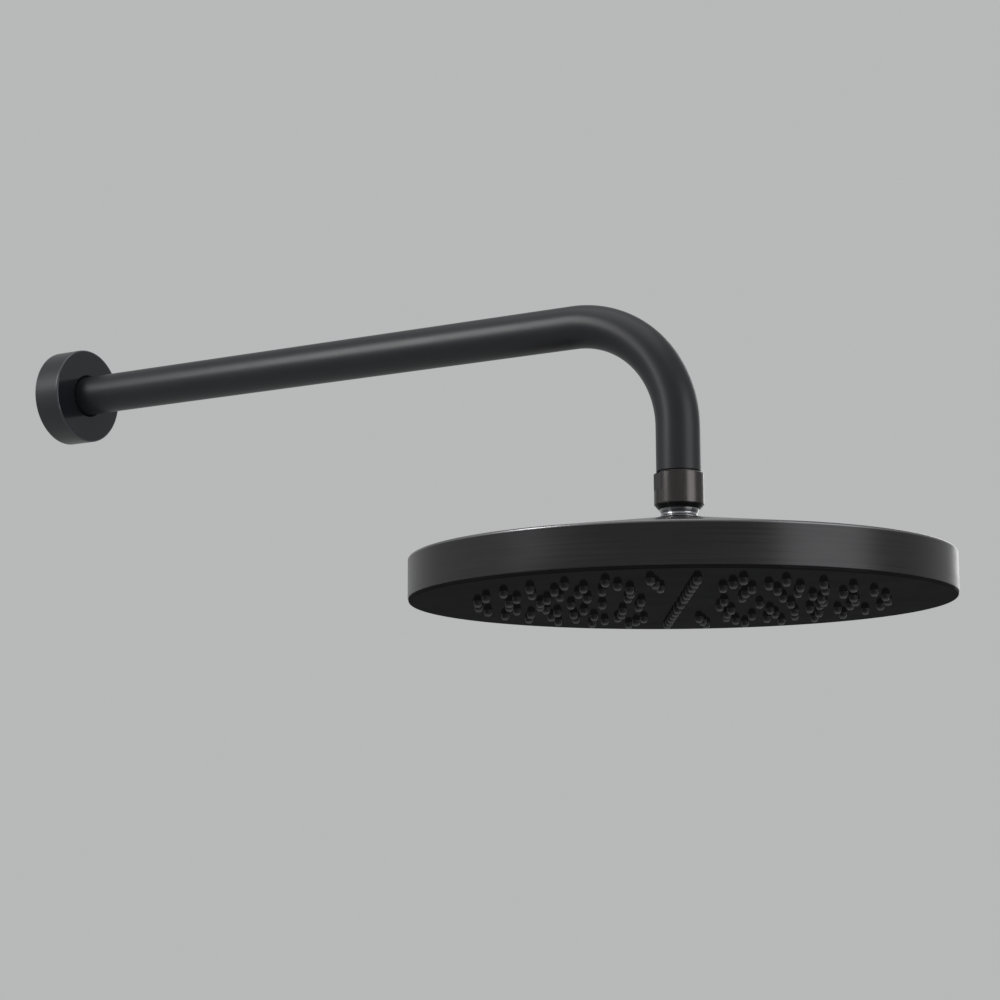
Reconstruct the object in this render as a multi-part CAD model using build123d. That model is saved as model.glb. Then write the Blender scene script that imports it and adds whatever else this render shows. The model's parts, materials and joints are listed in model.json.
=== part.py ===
from build123d import *
import os
from math import sqrt

# Rain shower head on a bent wall arm. Millimetres.
# The wall is the plane x = 0, +X runs out of it along the arm and +Z is up.

# Arm
arm_reach = 450.0  # wall to the head's axis
tube_diameter = 25.0
tube_wall = 2.0
bend_radius = 65.0  # of the tube's centre line
drop_length = 25.4  # straight tube below the bend
tube_setback = 2.0  # gap between the wall and the tube's end

# Threaded ends of the arm, G 1/2, at the crests of the thread
pipe_thread_diameter = 20.955
wall_thread_length = 15.0
outlet_thread_length = 6.0
nipple_bore = 13.0
nipple_spigot = 14.0  # length soldered into the tube
wall_shoulder_diameter = 24.0
outlet_shoulder_diameter = 23.2
outlet_shoulder = 0.8
thread_lead_in = 1.0
solder_gap = 0.03
thread_clearance = 0.12

# Wall flange
flange_diameter = 61.0
flange_depth = 19.0
flange_wall = 1.6
flange_face = 3.0
flange_edge_radius = 1.2
flange_hub_width = 6.0
flange_hub_depth = 6.5
flange_bore_clearance = 0.25
flange_bore_chamfer = 1.2
flange_ring_section = 2.2
flange_ring_setback = 3.3  # ring centre behind the front face
ring_clearance = 0.05

# Swivel collar and the ring below it
collar_diameter = 27.8
collar_height = 17.9
collar_edge = 0.5
collar_flats = 25.8  # across the two spanner flats
collar_flat_height = 10.0
collar_flat_angle = 50.0
collar_cavity_diameter = 23.8
ring_thread_diameter = 25.4
ring_thread_relief = 0.3
ring_lip_diameter = 27.4
ring_lip_height = 2.5
ring_lip_bevel = 2.2
ring_rise = 2.9  # top of the ring above the ball's centre

# Ball joint
ball_diameter = 23.0
ball_inset = 0.7  # ball centre above the collar's lower edge
ball_top = 8.0  # flat on the ball, above its centre
ball_clearance = 0.1
ball_neck_diameter = 20.2
bell_diameter = 24.4
bell_height = 2.5
bell_edge = 0.35
stem_diameter = 18.0
stem_bore = 11.0
seal_height = 4.9
seal_gap = 0.1
thrust_height = 1.1
thrust_lift = 8.7  # underside of the thrust ring above the ball's centre
thrust_margin = 0.2

# Flow limiter and filter in the collar
washer_height = 1.4
washer_bore = 12.4
washer_clearance = 0.2
screen_thickness = 0.4
screen_diameter = 14.4
screen_recess = 0.5
screen_clearance = 0.1
screen_pitch = 2.2
screen_bar = 0.7
limiter_flange_diameter = 15.8
limiter_flange = 1.2
limiter_height = 6.5
limiter_clearance = 0.2
limiter_slots = 6
limiter_slot_length = 2.4
limiter_slot_width = 1.0
limiter_slot_circle = 6.0
limiter_ring_section = 1.4
limiter_ring_lift = 3.2

# Head
head_diameter = 300.0
rim_height = 23.8
cone_rise = 22.3  # centre of the back above the rim's top edge
shell_wall = 1.5
shell_top_radius = 1.2
shell_bottom_radius = 0.4
land_diameter = 27.0  # flat that the bell sits on
stem_washer = 0.6
stem_washer_margin = 0.4
stem_clearance = 0.1

# Water chamber
face_thickness = 3.0
face_clearance = 0.3
face_edge_radius = 0.9
face_lip_height = 1.7  # edge of the face that shows below the rim
face_lip_inset = 0.4  # of that edge from the rim
chamber_gap = 5.5
chamber_wall_inset = 1.5  # face edge to the chamber's wall
chamber_wall = 9.0
seal_width = 2.0
seal_depth = 1.6
seal_inset = 1.7  # chamber side of the wall to the seal's groove
seal_clearance = 0.1
cover_thickness = 3.0
hub_diameter = 31.0
hub_top_margin = 0.8  # hub's top inside the land above it
hub_blend = 4.0
stem_ring_section = 2.0
stem_ring_lift = 7.0  # ring centre above the lock nut's seat
lock_nut_flats = 22.0
lock_nut_height = 4.0
lock_nut_pocket = 4.2
lock_nut_clearance = 0.7
gusset_count = 10
gusset_thickness = 2.4
gusset_height = 24.0
gusset_reach = 92.0
clamp_rib_width = 2.0
screw_count = 10
screw_diameter = 2.8
screw_head_diameter = 5.2
screw_head_height = 1.7
screw_bite = 4.2
screw_hole_clearance = 0.1
screw_tip_clearance = 0.4

# Nozzles, on rings from the outside in, all rings starting on one spoke
nozzle_rings = (30, 30, 30, 12, 8, 6)
nozzle_field_margin = 38.0  # rim to the outermost ring
nozzle_inner_ring = 26.0
nozzle_first_spoke = -60.0
nozzle_sides = 8
nozzle_root = 5.2  # across flats at the sheet
nozzle_tip = 4.4
nozzle_reach = 3.6  # below the face
nozzle_orifice = 1.2
nozzle_clearance = 0.15
mat_thickness = 1.5
mat_clearance = 0.3

# Heights along the head's axis, from the arm down
tube_radius = tube_diameter / 2
tube_bore_radius = tube_radius - tube_wall
thread_radius = pipe_thread_diameter / 2
ball_radius = ball_diameter / 2
socket_radius = ball_radius + ball_clearance
head_radius = head_diameter / 2
tube_end_z = -(bend_radius + drop_length)
collar_top_z = tube_end_z - outlet_shoulder
collar_bottom_z = collar_top_z - collar_height
ball_z = collar_bottom_z + ball_inset
lip_bottom_z = collar_bottom_z - ring_lip_height
neck_z = ball_z - sqrt(ball_radius**2 - (ball_neck_diameter / 2) ** 2)
bell_bottom_z = neck_z - bell_height
land_z = bell_bottom_z - stem_washer
rim_top_z = land_z - cone_rise
underside_z = rim_top_z - rim_height
face_top_z = underside_z + face_thickness
face_lip_z = underside_z + face_lip_height
mat_top_z = face_top_z + mat_thickness
cover_bottom_z = face_top_z + chamber_gap
cover_top_z = cover_bottom_z + cover_thickness
nut_seat_z = cover_bottom_z + lock_nut_pocket
nipple_end_z = collar_top_z - outlet_thread_length
washer_bottom_z = nipple_end_z - washer_height
thrust_bottom_z = ball_z + thrust_lift
thrust_top_z = thrust_bottom_z + thrust_height

# Radii of the head's stack
shell_inner_radius = head_radius - shell_wall
face_radius = shell_inner_radius - face_clearance
face_lip_radius = head_radius - face_lip_inset
wall_outer_radius = face_radius - chamber_wall_inset
wall_inner_radius = wall_outer_radius - chamber_wall
groove_inner_radius = wall_inner_radius + seal_inset
groove_outer_radius = groove_inner_radius + seal_width
screw_circle = (groove_outer_radius + wall_outer_radius) / 2
stem_radius = stem_diameter / 2
hub_bore_radius = stem_radius + stem_clearance
outer_ring_radius = head_radius - nozzle_field_margin
ring_step = (outer_ring_radius - nozzle_inner_ring) / (len(nozzle_rings) - 1)

head_axis = Pos(arm_reach, 0, 0)
along_arm = Rot(0, 90, 0)


def section(*corners):
    """Closed outline of (radius, height) corners as a face. A third number rounds that corner."""
    face = make_face(Polyline(*[corner[:2] for corner in corners], close=True))
    for corner in corners:
        if len(corner) == 3:
            vertex = face.vertices().sort_by_distance((corner[0], corner[1], 0))[0]
            face = fillet(vertex, corner[2])
    return face


def turned(face):
    """Solid turned from a (radius, height) face about the vertical axis."""
    return revolve(Plane.XZ * face, Axis.Z)


def ring(inner_radius, outer_radius, bottom, top):
    """Plain ring between two heights."""
    return turned(section((inner_radius, bottom), (outer_radius, bottom), (outer_radius, top), (inner_radius, top)))


def o_ring(inner_radius, section_diameter, height):
    """Ring of round section, given by the shaft that it grips."""
    return Pos(0, 0, height) * Torus(inner_radius + section_diameter / 2, section_diameter / 2)


def sphere_radius_at(radius, height):
    """Radius of a sphere's section at a height above its centre."""
    return sqrt(radius**2 - height**2)


def prism(across_flats, bottom, top, top_across_flats=None):
    """Upright prism or frustum of the nozzle's number of sides between two heights."""
    foot = RegularPolygon(across_flats / 2, nozzle_sides, major_radius=False)
    if top_across_flats is None:
        return Pos(0, 0, bottom) * extrude(foot, top - bottom)
    head = RegularPolygon(top_across_flats / 2, nozzle_sides, major_radius=False)
    return loft([Pos(0, 0, bottom) * foot, Pos(0, 0, top) * head])


def nozzle_spots():
    """Centres of all nozzles about the head's axis: one in the middle, then the rings."""
    spots = [Location((0, 0, 0))]
    for index, count in enumerate(nozzle_rings):
        radius = outer_ring_radius - index * ring_step
        spots += PolarLocations(radius, count, start_angle=nozzle_first_spoke).local_locations
    return spots


def make_arm_tube():
    """Round tube swept along the horizontal run, the bend and the drop."""
    path = FilletPolyline(
        (tube_setback, 0, 0), (arm_reach, 0, 0), (arm_reach, 0, tube_end_z), radius=bend_radius
    )
    start = Plane(origin=(tube_setback, 0, 0), z_dir=(1, 0, 0))
    return sweep(start * (Circle(tube_radius) - Circle(tube_bore_radius)), path)


def make_inlet_nipple():
    """Threaded wall end with a shoulder against the tube and a spigot inside it."""
    bore = nipple_bore / 2
    spigot = tube_bore_radius - solder_gap
    shoulder = wall_shoulder_diameter / 2
    body = turned(
        section(
            (bore, -wall_thread_length),
            (thread_radius - thread_lead_in, -wall_thread_length),
            (thread_radius, thread_lead_in - wall_thread_length),
            (thread_radius, 0),
            (shoulder, 0),
            (shoulder, tube_setback),
            (spigot, tube_setback),
            (spigot, tube_setback + nipple_spigot),
            (bore, tube_setback + nipple_spigot),
        )
    )
    return along_arm * body


def make_outlet_nipple():
    """Threaded drop end with a recess for the flow limiter in its lower face."""
    bore = nipple_bore / 2
    spigot = tube_bore_radius - solder_gap
    shoulder = outlet_shoulder_diameter / 2
    recess = limiter_flange_diameter / 2 + limiter_clearance
    recess_z = nipple_end_z + limiter_flange
    return head_axis * turned(
        section(
            (bore, tube_end_z + nipple_spigot),
            (spigot, tube_end_z + nipple_spigot),
            (spigot, tube_end_z),
            (shoulder, tube_end_z),
            (shoulder, collar_top_z),
            (thread_radius, collar_top_z),
            (thread_radius, nipple_end_z),
            (recess, nipple_end_z),
            (recess, recess_z),
            (bore, recess_z),
        )
    )


def make_wall_flange():
    """Cup-shaped cover with a hub that carries the rubber ring on the tube."""
    outer = flange_diameter / 2
    inner = outer - flange_wall
    bore = tube_radius + flange_bore_clearance
    hub = bore + flange_hub_width
    ceiling = flange_depth - flange_face
    groove = tube_radius + ring_clearance + flange_ring_section + ring_clearance
    groove_z = flange_depth - flange_ring_setback
    half_groove = flange_ring_section / 2 + ring_clearance
    body = turned(
        section(
            (inner, 0),
            (outer, 0),
            (outer, flange_depth, flange_edge_radius),
            (bore + flange_bore_chamfer, flange_depth),
            (bore, flange_depth - flange_bore_chamfer),
            (bore, groove_z + half_groove),
            (groove, groove_z + half_groove),
            (groove, groove_z - half_groove),
            (bore, groove_z - half_groove),
            (bore, flange_depth - flange_hub_depth),
            (hub, flange_depth - flange_hub_depth),
            (hub, ceiling),
            (inner, ceiling),
        )
    )
    return along_arm * body


def make_flange_o_ring():
    """Rubber ring that grips the tube inside the flange's hub."""
    return along_arm * o_ring(
        tube_radius + ring_clearance, flange_ring_section, flange_depth - flange_ring_setback
    )


def make_swivel_collar():
    """Collar with a pipe thread above, a ball chamber below and two spanner flats."""
    outer = collar_diameter / 2
    thread = thread_radius + thread_clearance
    cavity = collar_cavity_diameter / 2
    ring_thread = ring_thread_diameter / 2
    ring_seat_z = ball_z + ring_rise + ring_thread_relief
    body = turned(
        section(
            (thread, collar_top_z),
            (outer - collar_edge, collar_top_z),
            (outer, collar_top_z - collar_edge),
            (outer, collar_bottom_z),
            (ring_thread, collar_bottom_z),
            (ring_thread, ring_seat_z),
            (cavity, ring_seat_z),
            (cavity, thrust_top_z),
            (thread, thrust_top_z),
        )
    )
    waste = Box(
        outer,
        collar_diameter,
        collar_flat_height,
        align=(Align.MIN, Align.CENTER, Align.MAX),
    )
    for side in (0, 180):
        body -= Pos(0, 0, collar_top_z) * Rot(0, 0, collar_flat_angle + side) * Pos(collar_flats / 2, 0, 0) * waste
    return head_axis * body


def make_retaining_ring():
    """Bevelled ring screwed into the collar, with a spherical seat under the ball."""
    thread = ring_thread_diameter / 2 - ball_clearance
    lip = ring_lip_diameter / 2
    ring_top_z = ball_z + ring_rise
    mouth = sphere_radius_at(socket_radius, ball_z - lip_bottom_z)
    blank = turned(
        section(
            (mouth, lip_bottom_z),
            (lip - ring_lip_bevel, lip_bottom_z),
            (lip, collar_bottom_z),
            (thread, collar_bottom_z),
            (thread, ring_top_z),
            (mouth, ring_top_z),
        )
    )
    throat = Cylinder(socket_radius, ring_rise, align=(Align.CENTER, Align.CENTER, Align.MIN))
    seat = Pos(0, 0, ball_z) * (Sphere(socket_radius) + throat)
    return head_axis * (blank - seat)


def make_thrust_ring():
    """Slip ring between the filter washer and the ball's seal."""
    inner = sphere_radius_at(socket_radius, thrust_lift) + thrust_margin
    outer = collar_cavity_diameter / 2 - ball_clearance
    return head_axis * ring(inner, outer, thrust_bottom_z, thrust_top_z)


def make_ball_seal():
    """Wedge-shaped rubber seal that lies on the ball's shoulder."""
    outer = collar_cavity_diameter / 2 - ball_clearance
    top_z = thrust_bottom_z - seal_gap
    inner = sphere_radius_at(socket_radius, top_z - ball_z)
    blank = ring(inner, outer, top_z - seal_height, top_z)
    return head_axis * (blank - Pos(0, 0, ball_z) * Sphere(socket_radius))


def make_filter_washer():
    """Flat washer with a step for the filter screen."""
    outer = thread_radius + thread_clearance - washer_clearance
    bore = washer_bore / 2
    step = screen_diameter / 2 + screen_clearance
    step_z = nipple_end_z - screen_recess
    return head_axis * turned(
        section(
            (bore, washer_bottom_z),
            (outer, washer_bottom_z),
            (outer, nipple_end_z),
            (step, nipple_end_z),
            (step, step_z),
            (bore, step_z),
        )
    )


def make_filter_screen():
    """Round sieve with square openings."""
    open_radius = washer_bore / 2 - screen_bar
    span = int(open_radius / screen_pitch)
    spots = [
        (column * screen_pitch, row * screen_pitch)
        for column in range(-span, span + 1)
        for row in range(-span, span + 1)
        if (abs(column) + 0.5) ** 2 + (abs(row) + 0.5) ** 2 < (open_radius / screen_pitch) ** 2
    ]
    sieve = Circle(screen_diameter / 2) - Locations(*spots) * Rectangle(
        screen_pitch - screen_bar, screen_pitch - screen_bar
    )
    floor_z = nipple_end_z - screen_recess
    return head_axis * Pos(0, 0, floor_z) * extrude(sieve, screen_thickness)


def make_flow_regulator():
    """Flow limiter: flanged plug with metering slots and a groove for its ring."""
    outer = nipple_bore / 2 - limiter_clearance
    flange = limiter_flange_diameter / 2
    flange_top_z = nipple_end_z + limiter_flange
    top_z = nipple_end_z + limiter_height
    groove = nipple_bore / 2 - ring_clearance - limiter_ring_section - ring_clearance
    groove_z = nipple_end_z + limiter_ring_lift
    half_groove = limiter_ring_section / 2 + ring_clearance
    plug = turned(
        section(
            (0, nipple_end_z),
            (flange, nipple_end_z),
            (flange, flange_top_z),
            (outer, flange_top_z),
            (outer, groove_z - half_groove),
            (groove, groove_z - half_groove),
            (groove, groove_z + half_groove),
            (outer, groove_z + half_groove),
            (outer, top_z),
            (0, top_z),
        )
    )
    slot = Pos(0, 0, nipple_end_z) * extrude(
        Rectangle(limiter_slot_length, limiter_slot_width), limiter_height
    )
    plug -= [spot * slot for spot in PolarLocations(limiter_slot_circle / 2, limiter_slots).local_locations]
    return head_axis * plug


def make_regulator_o_ring():
    """Rubber ring between the flow limiter and the nipple's bore."""
    inner = nipple_bore / 2 - ring_clearance - limiter_ring_section
    return head_axis * o_ring(inner, limiter_ring_section, nipple_end_z + limiter_ring_lift)


def make_ball_stem():
    """Bored ball with a waisted neck, a flared bell and the long threaded shank."""
    bore = stem_bore / 2
    bell = bell_diameter / 2
    stem_end_z = nut_seat_z - lock_nut_height
    ball_top_z = ball_z + ball_top
    crown = (sphere_radius_at(ball_radius, ball_top), ball_top_z)
    neck = (ball_neck_diameter / 2, neck_z)
    flare_end = (bell, bell_bottom_z + bell_edge)
    outline = [
        Line((bore, ball_top_z), crown),
        ThreePointArc(crown, (ball_radius, ball_z), neck),
        TangentArc(neck, flare_end, tangent=(0, -1)),
        Polyline(
            flare_end,
            (bell, bell_bottom_z),
            (stem_radius, bell_bottom_z),
            (stem_radius, stem_end_z),
            (bore, stem_end_z),
            (bore, ball_top_z),
        ),
    ]
    return head_axis * turned(make_face(outline))


def make_stem_washer():
    """Washer between the bell and the cover."""
    return head_axis * ring(hub_bore_radius, bell_diameter / 2 - stem_washer_margin, land_z, bell_bottom_z)


def make_top_shell():
    """Spun cover: flat land for the bell, shallow cone and tall rim in one wall."""
    land = land_diameter / 2
    slope = cone_rise / (head_radius - land)
    wall_drop = shell_wall * sqrt(1 + slope**2)
    inner_top_z = rim_top_z + slope * shell_wall - wall_drop
    inner_land_z = land_z - shell_wall
    inner_land = land - (wall_drop - shell_wall) / slope
    return head_axis * turned(
        section(
            (hub_bore_radius, land_z),
            (land, land_z),
            (head_radius, rim_top_z, shell_top_radius),
            (head_radius, face_lip_z, shell_bottom_radius),
            (shell_inner_radius, face_lip_z),
            (shell_inner_radius, inner_top_z),
            (inner_land, inner_land_z),
            (hub_bore_radius, inner_land_z),
        )
    )


def make_chamber_cover():
    """Back wall of the water chamber: hub for the stem, gussets above, clamp ribs below."""
    hub = hub_diameter / 2
    hub_top = land_diameter / 2 - hub_top_margin
    hub_top_z = land_z - shell_wall
    pocket = lock_nut_flats / sqrt(3) + lock_nut_clearance
    groove = stem_radius + ring_clearance + stem_ring_section + ring_clearance
    groove_z = nut_seat_z + stem_ring_lift
    half_groove = stem_ring_section / 2 + ring_clearance
    cover = turned(
        section(
            (hub_bore_radius, hub_top_z),
            (hub_top, hub_top_z),
            (hub, cover_top_z, hub_blend),
            (wall_outer_radius, cover_top_z),
            (wall_outer_radius, cover_bottom_z),
            (pocket, cover_bottom_z),
            (pocket, nut_seat_z),
            (hub_bore_radius, nut_seat_z),
            (hub_bore_radius, groove_z - half_groove),
            (groove, groove_z - half_groove),
            (groove, groove_z + half_groove),
            (hub_bore_radius, groove_z + half_groove),
        )
    )
    root = (groove + hub_top) / 2
    profile = make_face(
        Polyline(
            (root, cover_top_z - cover_thickness / 2),
            (hub + gusset_reach, cover_top_z - cover_thickness / 2),
            (hub + gusset_reach, cover_top_z),
            (hub, cover_top_z + gusset_height),
            (root, cover_top_z + gusset_height),
            close=True,
        )
    )
    gusset = extrude(Plane.XZ * profile, gusset_thickness / 2, both=True)
    rib_start = outer_ring_radius - (len(nozzle_rings) / 2 - 0.5) * ring_step
    rib = Pos(rib_start, 0, mat_top_z) * Box(
        wall_inner_radius - mat_clearance - rib_start,
        clamp_rib_width,
        cover_bottom_z - mat_top_z,
        align=(Align.MIN, Align.CENTER, Align.MIN),
    )
    half_spoke = 180 / nozzle_rings[0]
    first_rib = nozzle_first_spoke + half_spoke
    spread = PolarLocations(0, gusset_count, start_angle=first_rib)
    cover += [spot * gusset for spot in spread.local_locations]
    cover += [spot * rib for spot in spread.local_locations]
    hole = Pos(0, 0, cover_bottom_z) * Cylinder(
        screw_diameter / 2 + screw_hole_clearance,
        cover_thickness,
        align=(Align.CENTER, Align.CENTER, Align.MIN),
    )
    cover -= [spot * hole for spot in screw_spots()]
    cover -= Pos(0, 0, cover_bottom_z) * Cylinder(
        pocket, lock_nut_pocket, align=(Align.CENTER, Align.CENTER, Align.MIN)
    )
    return head_axis * cover


def screw_spots():
    """Places of the chamber screws, between the gussets."""
    first = nozzle_first_spoke + 180 / nozzle_rings[0] + 180 / gusset_count
    return PolarLocations(screw_circle, screw_count, start_angle=first).local_locations


def make_chamber_seal():
    """Square-section seal in the groove of the chamber's wall."""
    inner = groove_inner_radius + seal_clearance
    outer = groove_outer_radius - seal_clearance
    return head_axis * ring(inner, outer, cover_bottom_z - seal_depth, cover_bottom_z)


def make_cover_screws():
    """Pan-head screws from the cover into the chamber's wall."""
    shank = Pos(0, 0, cover_bottom_z - screw_bite) * Cylinder(
        screw_diameter / 2,
        screw_bite + cover_thickness,
        align=(Align.CENTER, Align.CENTER, Align.MIN),
    )
    cap = Pos(0, 0, cover_top_z) * Cylinder(
        screw_head_diameter / 2, screw_head_height, align=(Align.CENTER, Align.CENTER, Align.MIN)
    )
    screw = shank + cap
    return Compound(children=[head_axis * spot * screw for spot in screw_spots()])


def make_face_plate():
    """Flat face with a hole for each nozzle, a lip under the rim and the chamber's wall behind."""
    plate = turned(
        section(
            (0, underside_z),
            (face_lip_radius, underside_z, face_edge_radius),
            (face_lip_radius, face_lip_z),
            (face_radius, face_lip_z),
            (face_radius, face_top_z),
            (wall_outer_radius, face_top_z),
            (wall_outer_radius, cover_bottom_z),
            (groove_outer_radius, cover_bottom_z),
            (groove_outer_radius, cover_bottom_z - seal_depth),
            (groove_inner_radius, cover_bottom_z - seal_depth),
            (groove_inner_radius, cover_bottom_z),
            (wall_inner_radius, cover_bottom_z),
            (wall_inner_radius, face_top_z),
            (0, face_top_z),
        )
    )
    hole = prism(nozzle_root + 2 * nozzle_clearance, underside_z, face_top_z)
    plate -= [spot * hole for spot in nozzle_spots()]
    bite = Pos(0, 0, cover_bottom_z) * Cylinder(
        screw_diameter / 2 + screw_hole_clearance,
        screw_bite + screw_tip_clearance,
        align=(Align.CENTER, Align.CENTER, Align.MAX),
    )
    plate -= [spot * bite for spot in screw_spots()]
    return head_axis * plate


def make_nozzle_mat():
    """Soft sheet on the face with tapered nozzles that reach through its holes."""
    sheet = ring(0, wall_inner_radius - mat_clearance, face_top_z, mat_top_z)
    tip_z = underside_z - nozzle_reach
    nozzle = prism(nozzle_tip, tip_z, face_top_z, nozzle_root)
    mat = sheet + [spot * nozzle for spot in nozzle_spots()]
    orifice = Pos(0, 0, tip_z) * extrude(
        RegularPolygon(nozzle_orifice / 2, nozzle_sides // 2, major_radius=False), mat_top_z - tip_z
    )
    mat -= [spot * orifice for spot in nozzle_spots()]
    return head_axis * mat


def make_stem_lock_nut():
    """Hexagon nut that clamps the stem, the cover and the chamber together."""
    blank = extrude(RegularPolygon(lock_nut_flats / 2, 6, major_radius=False), lock_nut_height)
    bore = Cylinder(
        stem_radius + ring_clearance, lock_nut_height, align=(Align.CENTER, Align.CENTER, Align.MIN)
    )
    return head_axis * Pos(0, 0, nut_seat_z - lock_nut_height) * (blank - bore)


def make_stem_o_ring():
    """Rubber ring that seals the stem in the hub."""
    return head_axis * o_ring(stem_radius + ring_clearance, stem_ring_section, nut_seat_z + stem_ring_lift)


pieces = {
    "arm_tube": make_arm_tube,
    "inlet_nipple": make_inlet_nipple,
    "outlet_nipple": make_outlet_nipple,
    "wall_flange": make_wall_flange,
    "flange_o_ring": make_flange_o_ring,
    "swivel_collar": make_swivel_collar,
    "retaining_ring": make_retaining_ring,
    "thrust_ring": make_thrust_ring,
    "ball_seal": make_ball_seal,
    "filter_washer": make_filter_washer,
    "filter_screen": make_filter_screen,
    "flow_regulator": make_flow_regulator,
    "regulator_o_ring": make_regulator_o_ring,
    "ball_stem": make_ball_stem,
    "stem_washer": make_stem_washer,
    "top_shell": make_top_shell,
    "chamber_cover": make_chamber_cover,
    "chamber_seal": make_chamber_seal,
    "cover_screws": make_cover_screws,
    "face_plate": make_face_plate,
    "nozzle_mat": make_nozzle_mat,
    "stem_lock_nut": make_stem_lock_nut,
    "stem_o_ring": make_stem_o_ring,
}

os.makedirs("parts", exist_ok=True)
for name, make in pieces.items():
    export_step(make(), f"parts/{name}.step")
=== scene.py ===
import json
from math import cos, pi, radians, sin, sqrt

import bpy
import numpy as np
from bpy.props import (
    FloatProperty,
    FloatVectorProperty,
    IntProperty,
    IntVectorProperty,
    PointerProperty,
)
from mathutils import Matrix, Vector


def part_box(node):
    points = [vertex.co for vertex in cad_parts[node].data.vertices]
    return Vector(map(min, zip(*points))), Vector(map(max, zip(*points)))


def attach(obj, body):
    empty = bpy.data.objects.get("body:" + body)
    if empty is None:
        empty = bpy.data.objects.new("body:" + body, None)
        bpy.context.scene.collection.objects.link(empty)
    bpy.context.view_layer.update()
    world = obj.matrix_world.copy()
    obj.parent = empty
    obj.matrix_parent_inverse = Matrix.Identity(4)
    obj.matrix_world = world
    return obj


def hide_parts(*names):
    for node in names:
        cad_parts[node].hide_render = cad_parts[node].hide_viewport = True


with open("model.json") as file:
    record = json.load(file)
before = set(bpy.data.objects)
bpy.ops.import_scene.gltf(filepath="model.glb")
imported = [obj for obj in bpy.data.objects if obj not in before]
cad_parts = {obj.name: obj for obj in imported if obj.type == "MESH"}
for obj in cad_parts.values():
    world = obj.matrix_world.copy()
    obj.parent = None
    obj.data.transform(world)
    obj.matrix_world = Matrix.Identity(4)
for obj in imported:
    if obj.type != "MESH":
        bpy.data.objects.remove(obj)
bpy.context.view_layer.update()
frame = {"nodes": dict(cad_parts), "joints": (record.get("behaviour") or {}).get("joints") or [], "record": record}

bl_info = {
    "name": "Rain shower head",
    "version": (1, 0, 0),
    "blender": (4, 5, 0),
    "location": "View3D > Sidebar > Shower",
    "description": "Surfaces, finishes and stage for a round rain shower head on a bent wall arm",
    "category": "Object",
}

MM = 0.001


def low(node, axis):
    """Lowest place of a CAD node along one axis, in metres."""
    return float(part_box(node)[0][axis])


def high(node, axis):
    """Highest place of a CAD node along one axis, in metres."""
    return float(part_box(node)[1][axis])


def width(node, axis):
    """Size of a CAD node along one axis, in metres."""
    return high(node, axis) - low(node, axis)


X, Y, Z = 0, 1, 2
HEAD_X = (low("top_shell", X) + high("top_shell", X)) / 2
UPRIGHT = np.eye(3)
ALONG_ARM = np.eye(3)[[1, 2, 0]]
HEAD_AXIS = np.array((HEAD_X, 0.0, 0.0))
BALL_Z = next(joint for joint in frame["joints"] if joint["name"] == "head_swivel")["pos_m"][Z]
ARM_AXIS = np.zeros(3)

# Two places nearer than this count as one
TINY = 1e-8

# Keeps the flats' outline finite beside the collar
MIN_COSINE = 0.2

# Faces round the turned pieces, and rows along the tube, the thread and the floor
TUBE_COLUMNS = 128
THREAD_COLUMNS = 96
FLANGE_COLUMNS = 224
COLLAR_COLUMNS = 256
JOINT_COLUMNS = 192
HEAD_COLUMNS = 384
SHEET_COLUMNS = 160
FLOOR_COLUMNS = 96
RUN_ROWS, BEND_ROWS, DROP_ROWS = 30, 90, 8
THREAD_ROWS = 132
FLOOR_ROWS = 9

# Points on the arcs of the joint, and on the rounded edges of the cover and the face
SEAT_STEPS, BALL_STEPS, FLARE_STEPS = 12, 48, 24
COVER_STEPS, FACE_STEPS = 10, 12

# Angles in degrees over which an edge shows as sharp
CREASE = 32.0
THREAD_CREASE = 40.0
NOZZLE_CREASE = 50.0

# Fits and thicknesses that no user would change
SOLDER_GAP = 0.03 * MM
GROOVE_PLAY = 0.05 * MM
BORE_BEVEL = 1.2 * MM
LEAD_IN = 1.3 * MM
RING_THREAD = 12.7 * MM
RING_SEAT_PLAY = 0.3 * MM
WASHER_PLAY = 0.2 * MM
BELL_OVERLAP = 3.1 * MM
FACE_SKIN = 0.01 * MM
SHEET = 1.5 * MM

# The face's edge ring reaches inwards by so many of its roundings
FACE_REACH = 2.5

# The thread fades into its root between so many turns from its inner end
RUN_OUT, RUN_OUT_END = 1.6, 0.8

# A nozzle's bowl: steps inwards from its side and up from its tip, as shares of the rounding
BOWL = ((0.14, 0.50), (0.37, 0.18), (0.68, 0.0))

# Finish of the coated tube and of the coated end inside the collar
ARM_ROUGHNESS, OUTLET_ROUGHNESS = 0.40, 0.36
WHITE_PLASTIC = (0.74, 0.74, 0.72)
GREY_PLASTIC = (0.13, 0.13, 0.14)
STEEL_DARK = (0.46, 0.465, 0.475)
STEEL_LIGHT = (0.60, 0.605, 0.61)
BLACK = (0.0, 0.0, 0.0, 1.0)

# The floor passes into the room between these distances from the head's axis, and its middle
# face has this radius
FLOOR_FADE = (1.5, 7.0)
FLOOR_EYE = 0.02

# Softboxes: direction from the aim, distance, width and height, and the setting of its power
AIM = (HEAD_X * 0.75, 0.0, -0.10)
LIGHTS = {
    "key_light": ((-0.53, -0.75, 0.52), 1.85, (0.45, 0.9), "key_power"),
    "side_light": ((-0.90, -0.41, 0.12), 1.9, (1.1, 1.1), "side_power"),
    "strip_light": ((1.0, -0.10, 0.10), 1.7, (1.1, 1.5), "strip_power"),
    "edge_light": ((0.0, 1.0, 0.25), 1.9, (0.6, 1.2), "edge_power"),
    "top_light": ((0.05, -0.15, 1.0), 1.7, (1.6, 1.6), "top_power"),
}

# Width of the camera's sensor in millimetres
SENSOR = 36.0


def measure(name, description, default, **kind):
    """Property for a number, with its unit, subtype or limits."""
    return FloatProperty(name=name, description=description, default=default, **kind)


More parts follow.
